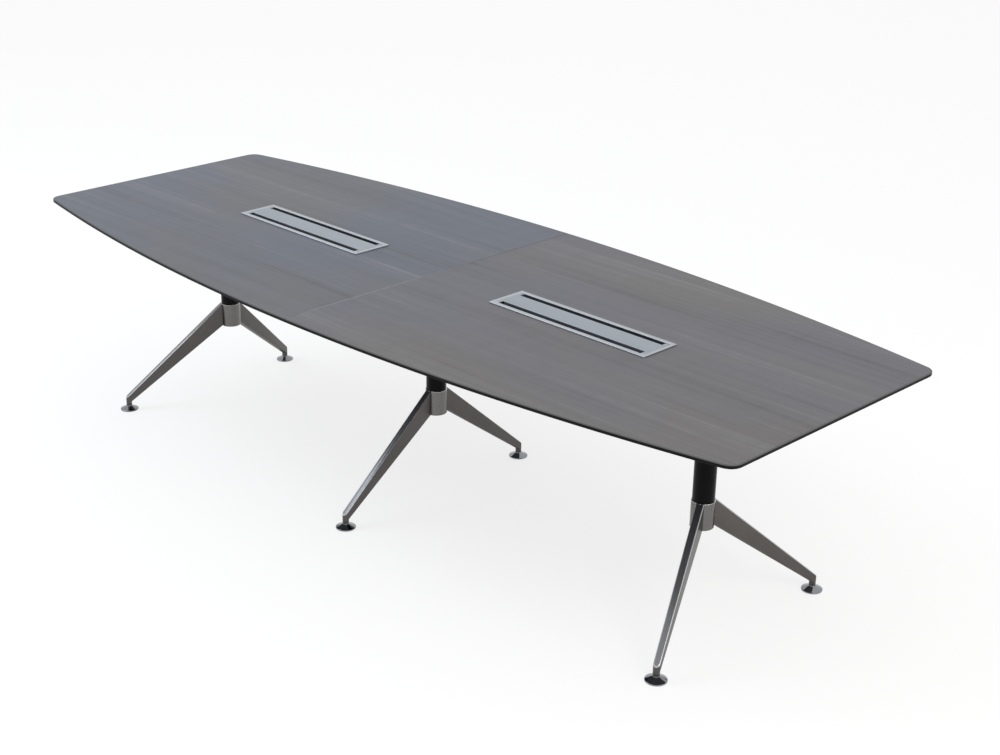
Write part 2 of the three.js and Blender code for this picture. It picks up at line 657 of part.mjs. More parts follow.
// Two halves of the top, with what is fixed under each
function addTop(table) {
  const outline = halfOutline(TOP_CORNER);
  for (const [side, turn] of [["left", Math.PI], ["right", 0]]) {
    const half = new THREE.Group();
    half.rotation.z = turn;
    table.add(half);
    addMesh(half, `top_panel_${side}`, topPanel(outline), FINISH.greyWood).position.x = SEAM_GAP / 2;
    addMesh(half, `edge_band_${side}`, edgeBand(outline), FINISH.darkEdge).position.x = SEAM_GAP / 2;
    for (const [row, y] of [["front", -RAIL_SPREAD], ["back", RAIL_SPREAD]]) {
      const across = turn === 0 ? y : -y;
      const rail = addMesh(half, `stiffening_rail_${side}_${row}`, stiffeningRail(), FINISH.blackSteel);
      rail.position.y = across;
    }
  }
  for (const [row, y] of [["front", -JOINER_SPREAD], ["back", JOINER_SPREAD]]) {
    addMesh(table, `joining_plate_${row}`, joiningPlate(), FINISH.zincSteel).position.y = y;
  }
}

// Cable box: frame, lid with its pins and brushes, and tray
function addCableBox(table, side, x) {
  const box = new THREE.Group();
  box.position.set(x, 0, TOP_HEIGHT);
  table.add(box);
  addMesh(box, `box_frame_${side}`, boxFrame(), FINISH.brushedAluminium);
  addMesh(box, `box_lid_${side}`, boxLid(), FINISH.brushedAluminium);
  addMesh(box, `cable_tray_${side}`, cableTray(), FINISH.blackSteel);
  for (const [end, way] of [["inner", -Math.sign(x)], ["outer", Math.sign(x)]]) {
    addMesh(box, `hinge_pin_${side}_${end}`, hingePin(way), FINISH.zincSteel);
  }
  for (const [row, way] of [["front", -1], ["back", 1]]) {
    addMesh(box, `brush_strip_${side}_${row}`, brushStrip(way), FINISH.blackBristle);
  }
}

// Pedestal: column, head plate, collar and cap, with a front and a back arm on its feet
function addPedestal(table, side, x) {
  const pedestal = new THREE.Group();
  pedestal.position.x = x;
  table.add(pedestal);
  addMesh(pedestal, `head_plate_${side}`, headPlate(), FINISH.blackSteel);
  addMesh(pedestal, `column_${side}`, column(), FINISH.blackSteel);
  addMesh(pedestal, `collar_${side}`, collar(), FINISH.satinAluminium);
  addMesh(pedestal, `column_cap_${side}`, columnCap(), FINISH.blackPlastic);
  const splay = Math.sign(x) * ARM_SPLAY;
  for (const [row, angle] of [["front", splay - Math.PI / 2], ["back", Math.PI / 2 - splay]]) {
    const leg = new THREE.Group();
    leg.rotation.z = angle;
    pedestal.add(leg);
    addMesh(leg, `arm_${side}_${row}`, arm(), FINISH.satinAluminium);
    for (const [piece, geometry, finish] of [
      ["foot_bell", footBell(), FINISH.chrome],
      ["foot_stem", footStem(), FINISH.zincSteel],
      ["foot_pad", footPad(), FINISH.blackPlastic],
    ]) {
      addMesh(leg, `${piece}_${side}_${row}`, geometry, finish).position.x = ARM_REACH;
    }
  }
}

const table = new THREE.Group();
addTop(table);
for (const [side, way] of [["left", -1], ["right", 1]]) {
  addCableBox(table, side, way * BOX_OFFSET);
}
for (const [side, way] of [["left", -1], ["middle", 0], ["right", 1]]) {
  addPedestal(table, side, way * PEDESTAL_OFFSET);
}

export default table;
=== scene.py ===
# %% [markdown]
# # A boat-shaped conference table
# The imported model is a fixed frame: its solids say where every piece sits and what moves. This lesson
# dresses that frame. Plain solids get finishes, faceted ones get smooth surfaces, and the stand-in
# brushes get finer bristles. Everything is in metres, where the frame says.

# %% Load the frame
import json
import math

import bmesh
import bpy
from mathutils import Matrix, Vector

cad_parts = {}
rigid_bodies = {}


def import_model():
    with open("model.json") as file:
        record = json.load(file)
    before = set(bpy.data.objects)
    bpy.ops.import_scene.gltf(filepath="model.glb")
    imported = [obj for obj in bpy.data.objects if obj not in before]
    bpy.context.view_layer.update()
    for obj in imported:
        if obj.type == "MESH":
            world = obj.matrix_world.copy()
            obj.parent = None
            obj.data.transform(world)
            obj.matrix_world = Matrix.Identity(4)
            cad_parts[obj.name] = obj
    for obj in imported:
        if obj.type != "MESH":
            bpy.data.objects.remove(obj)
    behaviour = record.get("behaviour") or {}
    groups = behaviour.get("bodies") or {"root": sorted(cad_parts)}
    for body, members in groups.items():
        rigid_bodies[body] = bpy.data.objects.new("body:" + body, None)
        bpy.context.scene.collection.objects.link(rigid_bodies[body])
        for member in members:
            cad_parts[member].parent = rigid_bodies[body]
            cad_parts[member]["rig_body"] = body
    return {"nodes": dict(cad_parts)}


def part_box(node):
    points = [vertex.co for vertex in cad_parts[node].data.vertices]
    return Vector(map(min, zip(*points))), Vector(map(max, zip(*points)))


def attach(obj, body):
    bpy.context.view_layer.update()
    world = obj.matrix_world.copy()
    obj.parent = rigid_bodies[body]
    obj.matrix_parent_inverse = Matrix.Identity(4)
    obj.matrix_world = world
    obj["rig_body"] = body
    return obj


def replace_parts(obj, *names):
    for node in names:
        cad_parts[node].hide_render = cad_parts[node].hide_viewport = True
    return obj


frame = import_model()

scene = bpy.context.scene
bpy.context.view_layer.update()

# %% [markdown]
# ## Camera
# The camera could be moved by eye until the picture matches, but a table this long shows every error.
# Its values come from a fit to the outline of the top, the cable boxes and the feet, so it is placed
# by direction, distance and a slight roll about the point that it looks at.

# %% Camera at the photograph's angle
AZIMUTH = math.radians(44.52)
ELEVATION = math.radians(22.48)
ROLL = math.radians(1.04)
DISTANCE = 4.5
AIM = Vector((0.7317, -0.4597, 0.75))
LENS_MM = 61.25
SENSOR_MM = 36.0
SHIFT_X = 0.001
FARTHEST = 200


def camera_axes(azimuth, elevation, roll):
    back = Vector((math.sin(azimuth), -math.cos(azimuth), math.tan(elevation))).normalized()
    right = Vector((math.cos(azimuth), math.sin(azimuth), 0))
    up = back.cross(right)
    rolled_right = right * math.cos(roll) + up * math.sin(roll)
    rolled_up = up * math.cos(roll) - right * math.sin(roll)
    return Matrix((rolled_right, rolled_up, back)).transposed()


axes = camera_axes(AZIMUTH, ELEVATION, ROLL)
camera = bpy.data.objects.new("camera", bpy.data.cameras.new("camera"))
camera.data.sensor_width = SENSOR_MM
camera.data.lens = LENS_MM
camera.data.shift_x = SHIFT_X
camera.data.clip_end = FARTHEST
camera.matrix_world = Matrix.Translation(AIM + axes.col[2] * DISTANCE) @ axes.to_4x4()
scene.collection.objects.link(camera)
scene.camera = camera
print("camera at", [round(x, 3) for x in camera.location])

# %% [markdown]
# ## Shader maths as Python
# Materials are graphs of nodes, and sums on their values are graphs too. Wiring each Math node by hand
# hides the formula, so one small class wraps a socket: an expression on it adds the nodes.


# %% A socket that can be used in expressions
def find_socket(sockets, key):
    if isinstance(key, int):
        return sockets[key]
    return next(socket for socket in sockets if key in (socket.identifier, socket.name))


class Shade:
    """An output socket of a node tree, or a bare tree before its first node."""

    def __init__(self, tree, socket=None):
        self.tree = tree
        self.socket = socket

    def node(self, kind, settings=None, inputs=None, output=0):
        made = self.tree.nodes.new(kind)
        for key, value in (settings or {}).items():
            setattr(made, key, value)
        for key, value in (inputs or {}).items():
            socket = find_socket(made.inputs, key)
            if isinstance(value, Shade):
                self.tree.links.new(value.socket, socket)
            else:
                socket.default_value = value
        return Shade(self.tree, find_socket(made.outputs, output) if made.outputs else None)

    def also(self, output):
        """Another output of the same node."""
        return Shade(self.tree, find_socket(self.socket.node.outputs, output))

    def sum_of(self, operation, *values):
        return self.node("ShaderNodeMath", {"operation": operation}, dict(enumerate(values)))

    def __add__(self, other):
        return self.sum_of("ADD", self, other)

    def __radd__(self, other):
        return self.sum_of("ADD", other, self)

    def __sub__(self, other):
        return self.sum_of("SUBTRACT", self, other)

    def __rsub__(self, other):
        return self.sum_of("SUBTRACT", other, self)

    def __mul__(self, other):
        return self.sum_of("MULTIPLY", self, other)

    def __rmul__(self, other):
        return self.sum_of("MULTIPLY", other, self)

    def rise(self, low, high):
        """Zero below low, one above high, and smooth between."""
        limits = {"Value": self, "From Min": low, "From Max": high}
        return self.node("ShaderNodeMapRange", {"interpolation_type": "SMOOTHSTEP"}, limits)

    def between(self, first, second):
        """The first colour at zero, the second at one."""
        inputs = {"Factor_Float": self, "A_Color": first, "B_Color": second}
        return self.node("ShaderNodeMix", {"data_type": "RGBA"}, inputs, "Result_Color")


def new_finish(name):
    material = bpy.data.materials.new(name)
    material.use_nodes = True
    material.node_tree.nodes.clear()
    return material, Shade(material.node_tree)


def close_finish(shade, **sockets):
    """The shader and the output; base_color stands for the socket Base Color."""
    names = {key: key.replace("_", " ").title().replace("Ior", "IOR") for key in sockets}
    inputs = {names[key]: value for key, value in sockets.items()}
    surface = shade.node("ShaderNodeBsdfPrincipled", {}, inputs)
    shade.node("ShaderNodeOutputMaterial", {}, {"Surface": surface})


print("shader helper ready")

# %% [markdown]
# ## Stage and light
# A product picture wants a floor that runs out to white and a light without hard edges. Brighter lamps
# could bleach the floor, but they would bleach the table too. So the floor is a pale matt sheet with a
# little glow of its own for the camera and for reflections, which lifts it to white but keeps the
# shadow. The world is white to look at and dimmer as a lamp, so that soft panels can model the shapes:
# two above, and a low one that skims the arms.

# %% Floor, world and lamps
FLOOR_HALF = 40.0
FLOOR_AS_LIGHT = (0.8, 0.8, 0.8, 1)
FLOOR_AS_SEEN = (0.32, 0.32, 0.32, 1)
FLOOR_GLOW = 0.73
WORLD_LEVEL = 0.7
WHITE = (1, 1, 1, 1)
COOL_LIGHT = (0.80, 0.90, 1.0)
WARM_LIGHT = (1.0, 0.95, 0.88)
MILD_LIGHT = (1.0, 0.98, 0.95)


def looked_at(shade):
    """One for rays that show the background: from the camera, in gloss and through glass."""
    path = shade.node("ShaderNodeLightPath", output="Is Camera Ray")
    shown = path + path.also("Is Glossy Ray") + path.also("Is Transmission Ray")
    return shown.sum_of("MINIMUM", shown, 1.0)


def make_floor():
    material, shade = new_finish("floor_sheet")
    seen = looked_at(shade)
    grey = seen.between(FLOOR_AS_LIGHT, FLOOR_AS_SEEN)
    matt = shade.node("ShaderNodeBsdfDiffuse", {}, {"Color": grey})
    glow = shade.node("ShaderNodeEmission", {}, {"Color": WHITE, "Strength": seen * FLOOR_GLOW})
    both = shade.node("ShaderNodeAddShader", {}, {0: matt, 1: glow})
    shade.node("ShaderNodeOutputMaterial", {}, {"Surface": both})
    work = bmesh.new()
    bmesh.ops.create_grid(work, x_segments=1, y_segments=1, size=FLOOR_HALF)
    mesh = bpy.data.meshes.new("floor")
    work.to_mesh(mesh)
    work.free()
    mesh.materials.append(material)
    floor = bpy.data.objects.new("floor", mesh)
    scene.collection.objects.link(floor)


def make_world():
    world = bpy.data.worlds.new("studio")
    world.use_nodes = True
    world.node_tree.nodes.clear()
    scene.world = world
    shade = Shade(world.node_tree)
    seen = looked_at(shade)
    strength = seen + (1 - seen) * WORLD_LEVEL
    sky = shade.node("ShaderNodeBackground", {}, {"Color": WHITE, "Strength": strength})
    shade.node("ShaderNodeOutputWorld", {}, {"Surface": sky})


def soft_panel(name, place, target, size, watts, colour):
    lamp = bpy.data.lights.new(name, "AREA")
    lamp.shape = "DISK"
    lamp.size = size
    lamp.energy = watts
    lamp.color = colour
    panel = bpy.data.objects.new(name, lamp)
    toward = (Vector(target) - Vector(place)).to_track_quat("-Z", "Y")
    panel.matrix_world = Matrix.Translation(place) @ toward.to_matrix().to_4x4()
    scene.collection.objects.link(panel)


scene.view_settings.view_transform = "Standard"
make_floor()
make_world()
soft_panel("panel_left", (-3.2, -2.6, 4.2), (-0.3, 0, 0.6), size=3.0, watts=85, colour=COOL_LIGHT)
soft_panel("panel_right", (4.2, -1.2, 3.2), (0.6, 0, 0.4), size=2.4, watts=45, colour=WARM_LIGHT)
soft_panel("panel_low", (5.0, 0.0, 0.6), (0.0, -0.2, 0.2), size=1.6, watts=20, colour=MILD_LIGHT)

# %% [markdown]
# ## Finish of the top
# The top is a grey wood-grain laminate: fine straight grain along the table, soft lighter and darker
# bands where boards were sliced, and short dark pores. An image of wood would do it, but noise that is
# stretched along X gives the same layers at their real widths and never repeats.

# %% Layers of the grain
NOISE_MEAN = 0.5
LAYERS = {
    # changes in a metre along, across and down; a shift of its own; detail
    "bands": ((0.45, 7.0, 7.0), 0, 3.0),
    "stripes": ((0.9, 38.0, 38.0), 3, 3.0),
    "grain": ((2.2, 210.0, 210.0), 7, 4.0),
    "pores": ((16.0, 900.0, 900.0), 11, 2.0),
    "figure": ((22.0, 5.0, 5.0), 17, 2.0),
    "warmth": ((0.8, 1.6, 1.6), 23, 2.0),
}
TONE_SHARES = {"bands": 0.5, "stripes": 0.42, "grain": 0.55, "figure": 0.12}


def stretched_noise(shade, place, scale, shift=0.0, detail=3.0):
    inputs = {"Vector": place, "Location": (shift, shift, shift), "Scale": scale}
    mapped = shade.node("ShaderNodeMapping", {}, inputs)
    return shade.node("ShaderNodeTexNoise", {}, {"Vector": mapped, "Scale": 1.0, "Detail": detail})


def grain_layers(shade, place, shift):
    return {
        key: stretched_noise(shade, place, scale, shift + own, detail)
        for key, (scale, own, detail) in LAYERS.items()
    }


def light_and_dark(layer):
    """Above zero where the wood is lighter than its base, below where it is darker."""
    return sum((layer[key] - NOISE_MEAN) * share for key, share in TONE_SHARES.items())


print("layers of the grain:", list(LAYERS))

# %% [markdown]
# The two halves of the top meet in a joint that shows as a thin line. At the front of the table it is a
# painted highlight, pale where the eased corner catches the light, and at the back it is the dark joint. A
# groove alone is too fine to be seen at this size, so the line is in the colour as well: its distance from
# the middle of the table draws it.

# %% Line of the joint
# The pale colour is a painted highlight on the front of the joint; the dark one is the joint itself at the
# back.
SEAM_PAINTED_HIGHLIGHT = (0.42, 0.42, 0.42, 1)
SEAM_DARK = (0.075, 0.075, 0.078, 1)
SEAM_FADE = (-0.30, 0.35)
SEAM_START = (-0.60, -0.45)
SEAM_HALF_WIDTH = (0.0009, 0.0016)
SEAM_STRENGTH = 0.75


def joint_with_painted_highlight(shade, place, colour):
    along = shade.node("ShaderNodeSeparateXYZ", {}, {"Vector": place}, "X")
    from_seam = along.sum_of("ABSOLUTE", along)
    across = along.also("Y")
    # Painted highlight at the front of the joint, dark joint at the back.
    joint = across.rise(*SEAM_FADE).between(SEAM_PAINTED_HIGHLIGHT, SEAM_DARK)
    at_seam = (1 - from_seam.rise(*SEAM_HALF_WIDTH)) * across.rise(*SEAM_START) * SEAM_STRENGTH
    return at_seam.between(colour, joint)


print("joint fades over", SEAM_FADE)

# %% [markdown]
# The left half is painted a shade bluer. This is painted cool light, for the bluer light that falls on
# that end of the table. One finish for both would run the grain straight through the joint, so each half
# has its own shift and its own pair of base colours.

# %% Grey wood grain
# The left half's bluer colours are painted cool light on that end of the table.
LEFT_SHEET_PAINTED_COOL_LIGHT = ((0.104, 0.119, 0.156, 1), (0.117, 0.118, 0.124, 1))
RIGHT_SHEET = ((0.119, 0.121, 0.146, 1), (0.130, 0.123, 0.124, 1))
RIGHT_SHIFT = 5.3
WOOD_LIGHT = (0.195, 0.196, 0.204, 1)
WOOD_DARK = (0.064, 0.063, 0.066, 1)
NOISE_RANGE = (0.36, 0.64)
TONE_RANGE = (0.0, 0.33)
PORE_RANGE = (0.6, 0.72)
PORE_GRAIN = (0.44, 0.56)
PORE_STRENGTH = 0.45
GRAIN_HEIGHT = 0.5
GRAIN_BUMP = {"Strength": 0.12, "Distance": 0.0004}
WOOD_ROUGH = 0.46
ROUGHER_GRAIN = 0.1
ROUGHER_PORE = 0.08
WOOD_GLOSS = 0.35


def wood_grain(name, shift, cool, warm):
    material, shade = new_finish(name)
    place = shade.node("ShaderNodeTexCoord", output="Object")
    layer = grain_layers(shade, place, shift)
    grain = layer["grain"]
    base = layer["warmth"].rise(*NOISE_RANGE).between(cool, warm)
    tone = light_and_dark(layer)
    light = tone.rise(*TONE_RANGE).between(base, WOOD_LIGHT)
    dark = (0 - tone).rise(*TONE_RANGE).between(light, WOOD_DARK)
    pore = layer["pores"].rise(*PORE_RANGE) * grain.rise(*PORE_GRAIN)
    colour = joint_with_painted_highlight(shade, place, (pore * PORE_STRENGTH).between(dark, WOOD_DARK))
    bump = shade.node("ShaderNodeBump", {}, {**GRAIN_BUMP, "Height": grain * GRAIN_HEIGHT - pore})
    rough = WOOD_ROUGH + (grain - NOISE_MEAN) * ROUGHER_GRAIN + pore * ROUGHER_PORE
    close_finish(shade, base_color=colour, roughness=rough, normal=bump, specular_ior_level=WOOD_GLOSS)
    return material


WOOD = {
    "left": wood_grain("grey_wood_left", 0.0, *LEFT_SHEET_PAINTED_COOL_LIGHT),
    "right": wood_grain("grey_wood_right", RIGHT_SHIFT, *RIGHT_SHEET),
}
print("wood:", [m.name for m in WOOD.values()])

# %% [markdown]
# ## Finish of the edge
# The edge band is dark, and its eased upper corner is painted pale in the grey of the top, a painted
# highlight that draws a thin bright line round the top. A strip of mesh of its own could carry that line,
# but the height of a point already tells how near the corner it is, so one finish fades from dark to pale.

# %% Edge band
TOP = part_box("top_panel_right")[1].z
EDGE_DARK = (0.004, 0.004, 0.004, 1)
EDGE_FLECK = (0.009, 0.0085, 0.0085, 1)
# The pale colour of the upper corner is a painted highlight in the grey of the top.
EDGE_CORNER_PAINTED_HIGHLIGHT = (0.125, 0.126, 0.130, 1)
CORNER_HIGHLIGHT_HEIGHTS = (TOP - 0.0032, TOP - 0.0014)
FLECK_SCALE = (60.0, 60.0, 900.0)
WIDE_RANGE = (0.35, 0.65)
EDGE_ROUGH = 0.42
ROUGHER_FLECK = 0.12
EDGE_GLOSS = 0.1


def edge_band_finish():
    material, shade = new_finish("dark_edge_band")
    place = shade.node("ShaderNodeTexCoord", output="Object")
    height = shade.node("ShaderNodeSeparateXYZ", {}, {"Vector": place}, "Z")
    fleck = stretched_noise(shade, place, FLECK_SCALE)
    dark = fleck.rise(*WIDE_RANGE).between(EDGE_DARK, EDGE_FLECK)
    # Near the top the dark band fades into the painted highlight of the corner.
    colour = height.rise(*CORNER_HIGHLIGHT_HEIGHTS).between(dark, EDGE_CORNER_PAINTED_HIGHLIGHT)
    rough = EDGE_ROUGH + fleck * ROUGHER_FLECK
    close_finish(shade, base_color=colour, roughness=rough, specular_ior_level=EDGE_GLOSS)
    return material


EDGE = edge_band_finish()
print("edge:", EDGE.name, "below", round(TOP, 4))

# %% [markdown]
# ## Finish of the metals
# Brushed metal is fine scratches in one direction. Anisotropic gloss could stand for them, but then no
# scratch is seen close up. Here noise that is stretched along them gives faint lines in colour,
# roughness and height. On the boxes they run along the table. The arms each point another way, so
# their scratches follow a UV map that runs from the column to the foot.

# %% Aluminium, chrome and zinc
LINE_SHARE = 0.7
CLOUD_SHARE = 0.3
METAL_CLOUD = (6.0, 6.0, 6.0)
SCRATCH_HEIGHT = 0.0002
ROUGHER_LINES = 0.4
ROUGHER_CLOUD = 0.3
ALONG_TABLE = (5.0, 900.0, 900.0)
ALONG_ARM = (14.0, 1500.0, 1.0)
ROUND_COLLAR = (30.0, 30.0, 2600.0)
PLATED = (30, 30, 30)
SPANGLED = (120, 120, 120)


def brushed(name, dull, bright, scale, rough, coordinates="Object", depth=0.1):
    material, shade = new_finish(name)
    place = shade.node("ShaderNodeTexCoord", output=coordinates)
    lines = stretched_noise(shade, place, scale, shift=1.0, detail=4.0)
    cloud = stretched_noise(shade, place, METAL_CLOUD, shift=4.0)
    colour = (lines * LINE_SHARE + cloud * CLOUD_SHARE).rise(*NOISE_RANGE).between(dull, bright)
    relief = {"Strength": depth, "Distance": SCRATCH_HEIGHT, "Height": lines}
    bump = shade.node("ShaderNodeBump", {}, relief)
    change = (lines - NOISE_MEAN) * ROUGHER_LINES + (cloud - NOISE_MEAN) * ROUGHER_CLOUD
    close_finish(shade, base_color=colour, metallic=1.0, roughness=rough * (1 + change), normal=bump)
    return material


FRAME_METAL = brushed(
    "frame_aluminium", (0.40, 0.43, 0.46, 1), (0.47, 0.50, 0.54, 1), ALONG_TABLE, rough=0.42
)
LID_METAL = brushed(
    "lid_aluminium", (0.31, 0.345, 0.38, 1), (0.37, 0.405, 0.445, 1), ALONG_TABLE, rough=0.46
)
# The arm gets one metal in three shades: painted shade on the sides, painted light on the top, and a
# painted highlight on the arrises.
ARM_SIDE_PAINTED_SHADE = brushed(
    "arm_side_painted_shade", (0.088, 0.082, 0.078, 1), (0.118, 0.111, 0.106, 1), ALONG_ARM,
    rough=0.36, coordinates="UV", depth=0.04,
)
ARM_TOP_PAINTED_LIGHT = brushed(
    "arm_top_painted_light", (0.20, 0.205, 0.216, 1), (0.24, 0.245, 0.258, 1), ALONG_ARM,
    rough=0.38, coordinates="UV", depth=0.0,
)
ARM_ARRIS_PAINTED_HIGHLIGHT = brushed(
    "arm_arris_painted_highlight", (0.42, 0.425, 0.435, 1), (0.50, 0.505, 0.515, 1), ALONG_ARM,
    rough=0.3, coordinates="UV", depth=0.0,
)
COLLAR_METAL = brushed(
    "collar_aluminium", (0.15, 0.146, 0.14, 1), (0.175, 0.17, 0.164, 1), ROUND_COLLAR,
    rough=0.27, depth=0.02,
)
CHROME = brushed(
    "mirror_chrome", (0.22, 0.23, 0.245, 1), (0.26, 0.27, 0.285, 1), PLATED, rough=0.06, depth=0.01
)
# The rim is smoother, and its much paler colour is a painted highlight.
RIM_PAINTED_HIGHLIGHT = brushed(
    "polished_rim_painted_highlight", (0.66, 0.66, 0.65, 1), (0.74, 0.74, 0.73, 1), ROUND_COLLAR, rough=0.16, depth=0.02
)
ZINC = brushed("zinc_plate", (0.34, 0.36, 0.38, 1), (0.44, 0.46, 0.48, 1), SPANGLED, rough=0.34)
print("metals: from", FRAME_METAL.name, "to", ZINC.name)

# %% [markdown]
# ## Coats and plastics
# Powder coat and moulded plastic are one colour with a fine skin. A bare shader would look like wet
# paint, so a fine noise lifts the skin, and a slow one makes its gloss uneven.

# %% Black coats, plastic and bristle
COAT_CLOUD = (9.0, 9.0, 9.0)
SKIN_BUMP = 0.25
ROUGHER_COAT = 0.12


def coated(name, dark, light, grain, rough, bump_height, gloss=0.5):
    """An even colour with a fine skin; grain is the number of its bumps in a metre."""
    material, shade = new_finish(name)
    place = shade.node("ShaderNodeTexCoord", output="Object")
    skin = stretched_noise(shade, place, (grain, grain, grain), shift=2.0)
    cloud = stretched_noise(shade, place, COAT_CLOUD, shift=5.0)
    colour = ((skin + cloud) * 0.5).rise(*WIDE_RANGE).between(dark, light)
    relief = {"Strength": SKIN_BUMP, "Distance": bump_height, "Height": skin}
    bump = shade.node("ShaderNodeBump", {}, relief)
    roughness = rough + (cloud - NOISE_MEAN) * ROUGHER_COAT
    close_finish(shade, base_color=colour, roughness=roughness, normal=bump, specular_ior_level=gloss)
    return material


BLACK_COAT = coated(
    "black_coat", (0.0015, 0.0015, 0.002, 1), (0.0035, 0.0035, 0.004, 1), 1400,
    rough=0.32, bump_height=0.0001, gloss=0.08,
)
# The skirt's dark colour is painted shade inside the slots.
SKIRT_PAINTED_SHADE = coated(
    "skirt_painted_shade", (0.022, 0.024, 0.031, 1), (0.036, 0.039, 0.048, 1), 1400,
    rough=0.5, bump_height=0.0001, gloss=0.2,
)
BLACK_PLASTIC = coated(
    "black_plastic", (0.010, 0.010, 0.011, 1), (0.018, 0.018, 0.020, 1), 900,
    rough=0.55, bump_height=0.0002,
)
BRISTLE = coated(
    "black_bristle", (0.040, 0.044, 0.056, 1), (0.076, 0.083, 0.104, 1), 2500,
    rough=0.62, bump_height=0.0001,
)
print("finishes:", len(bpy.data.materials))

# %% [markdown]
# ## From mesh to piece
# Every piece ends the same way: its mesh becomes an object at the origin that is shaded smooth with its
# corners kept sharp, rides on a body of the frame and takes its finishes. All but the screws also take the
# place of a solid. Flat pieces could be modelled again, but a copy of their solid is exact: it is merged,
# its flat faces are joined again, and its sharp edges get a small round that catches the light.

# %% Finish a piece
MERGE = 0.00002
NO_LENGTH = MERGE / 10
FLAT = math.radians(0.6)
SHARP = math.radians(28)
ROUND_SHARP = math.radians(40)


def finish_piece(name, work, node, slot, *finishes, sharp=SHARP):
    mesh = bpy.data.meshes.new(name)
    work.to_mesh(mesh)
    work.free()
    mesh.shade_smooth()
    mesh.set_sharp_from_angle(angle=sharp)
    for finish in finishes:
        mesh.materials.append(finish)
    made = bpy.data.objects.new(name, mesh)
    scene.collection.objects.link(made)
    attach(made, frame["nodes"][node]["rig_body"])
    return made


def stand_for(name, work, node, slot, *finishes, sharp=SHARP):
    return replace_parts(finish_piece(name, work, node, slot, *finishes, sharp=sharp), node)


def copy_of(node, ease=0.0, steps=2):
    work = bmesh.new()
    work.from_mesh(frame["nodes"][node].data)
    bmesh.ops.remove_doubles(work, verts=work.verts, dist=MERGE)
    bmesh.ops.dissolve_limit(work, angle_limit=FLAT, verts=work.verts, edges=work.edges)
    if ease:
        corners = [e for e in work.edges if e.is_manifold and e.calc_face_angle() > SHARP]
        rules = {"affect": "EDGES", "segments": steps, "profile": 0.5, "material": -1}
        bmesh.ops.bevel(work, geom=corners, offset=ease, offset_type="OFFSET", clamp_overlap=True, **rules)
        bmesh.ops.dissolve_degenerate(work, dist=NO_LENGTH, edges=work.edges)
    return work


def middle_of(node):
    low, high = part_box(node)
    return (low + high) / 2


print("piece helpers ready")

# %% [markdown]
# ## Top panels and edge bands
# Each half of the top is a board with a thin band glued round it. A copy of the solid would show the
# frame's facets along the curve, so the outline is drawn again: the long sides are shallow parabolas
# and the corners are short curves, which a formula gives as finely as is wanted.

# %% Outline of one half
END_HALF_WIDTH = 0.445
CORNER = 0.036
SIDE_STEPS = 40
CORNER_STEPS = 14
UNDERCUT = 0.035
BAND = 0.0035
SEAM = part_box("edge_band_right")[0].x
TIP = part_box("edge_band_right")[1]


def quadratic(start, pull, end, steps):
    shares = [i / steps for i in range(steps + 1)]
    return [start.lerp(pull, t).lerp(pull.lerp(end, t), t) for t in shares]


def half_outline(corner_size):
    """The right half, from the seam at the front round to the seam at the back."""
    seam = Vector((SEAM, -TIP.y))
    pull = Vector(((SEAM + TIP.x) / 2, -TIP.y))
    sharp = Vector((TIP.x, -END_HALF_WIDTH))
    trim = 1 - corner_size / (2 * (sharp - pull).length)
    short_pull = seam.lerp(pull, trim)
    side = quadratic(seam, short_pull, short_pull.lerp(pull.lerp(sharp, trim), trim), SIDE_STEPS)
    corner = quadratic(side[-1], sharp, sharp + Vector((0, corner_size)), CORNER_STEPS)
    points = side + corner[1:]
    return points + [Vector((p.x, -p.y)) for p in reversed(points)]


def across_seam(point):
    return Vector((2 * SEAM - point.x, point.y))


def moved_in(points, distance):
    """The outline moved inwards; at the seam it slides along the seam."""
    befores = [across_seam(points[1])] + points[:-1]
    afters = points[1:] + [across_seam(points[-2])]
    moved = []
    for before, point, after in zip(befores, points, afters):
        along = (after - before).normalized()
        moved.append(point + Vector((-along.y, along.x)) * distance)
    return moved


OUTLINE = half_outline(CORNER)
UNDER_INSET = BAND + UNDERCUT
UNDER_OUTLINE = moved_in(half_outline(CORNER + UNDER_INSET), UNDER_INSET)
print("outline:", len(OUTLINE), "points")

# %% [markdown]
# Rings of that outline at a few levels are bridged into walls and filled into faces. The upper corner
# at the seam is taken off a little, so that the joint catches the light, and the bevel under the edge
# has the dark finish of the band. A Boolean could cut the holes for the cable boxes, but a hole is
# only one more ring.

# %% Rings, walls and faces
EDGE_HEIGHT = 0.011
UPPER_ROUND = 0.0025
LOWER_ROUND = 0.001
SEAM_ARRIS = 0.0009
BAND_GAP = 0.0001
CUT_OUT = Vector((0.5840, 0.1180))
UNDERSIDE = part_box("top_panel_right")[0].z
PANEL_SHARP = math.radians(20)
QUARTER = [math.radians(angle) for angle in (0, 22.5, 45, 67.5, 90)]


def ring(work, points, z, way=1):
    """A closed ring of edges; way -1 turns it half round, to the other half of the table."""
    verts = [work.verts.new((way * p.x, way * p.y, z)) for p in points]
    return [work.edges.new((a, b)) for a, b in zip(verts, verts[1:] + verts[:1])]


def wall(work, lower, upper):
    return bmesh.ops.bridge_loops(work, edges=lower + upper)["faces"]


def face(work, edges):
    bmesh.ops.triangle_fill(work, use_beauty=True, use_dissolve=False, edges=edges)


def cut_out(side):
    """The hole for a cable box, as on the right half."""
    middle = middle_of(f"box_frame_{side}")
    half = CUT_OUT / 2
    corners = [(-1, -1), (1, -1), (1, 1), (-1, 1)]
    return [Vector((abs(middle.x) + u * half.x, middle.y + v * half.y)) for u, v in corners]


